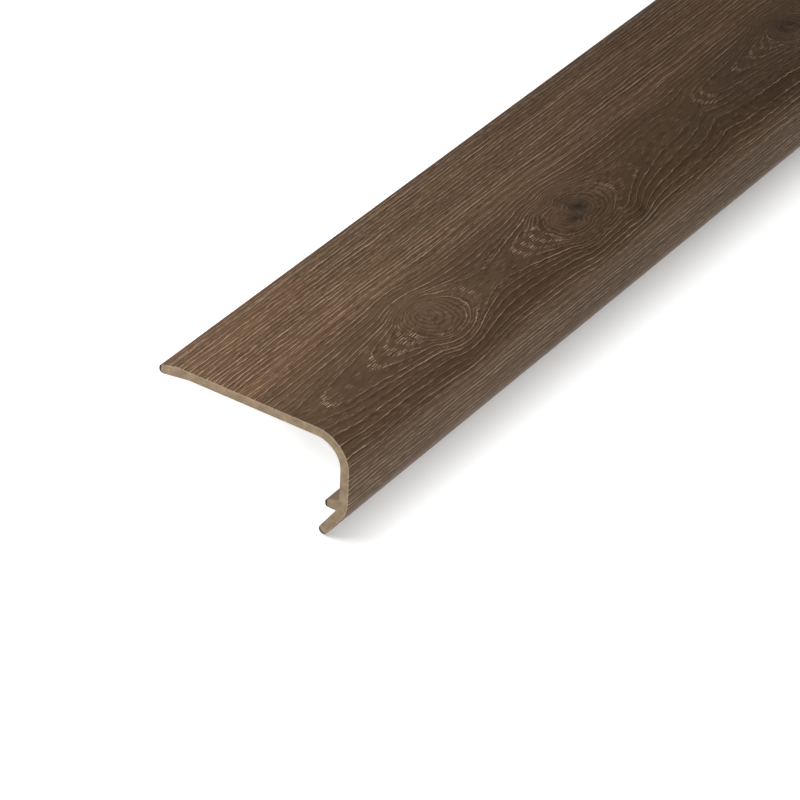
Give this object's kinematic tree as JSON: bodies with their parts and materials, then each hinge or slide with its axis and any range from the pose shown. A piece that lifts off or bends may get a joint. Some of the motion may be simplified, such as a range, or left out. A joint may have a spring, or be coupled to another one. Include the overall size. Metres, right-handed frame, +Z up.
{
  "type": "overlapping stair nosing",
  "caption": "Long extruded stair-edge strip: a thin flange with a bevelled back edge, a bullnose, a tucked lip and an inner rib, in dark oak-grained rigid vinyl.",
  "frame": {"origin": "on the floor under the middle of the strip's bounding box", "axes": "+Y along the length, +X towards the nose, -X towards the back edge, +Z up as the strip lies by itself on a floor, decor face up, on its back edge and its lip, with its flange sloping 28.7 degrees down to the back"},
  "size_m": [0.0902, 1.2, 0.0408],
  "materials": {
    "wood_grain_vinyl": "embossed dark oak grain, matt, on a plain beige-brown core"
  },
  "bodies": {
    "root": {"nosing_profile": "wood_grain_vinyl"}
  },
  "joints": []
}
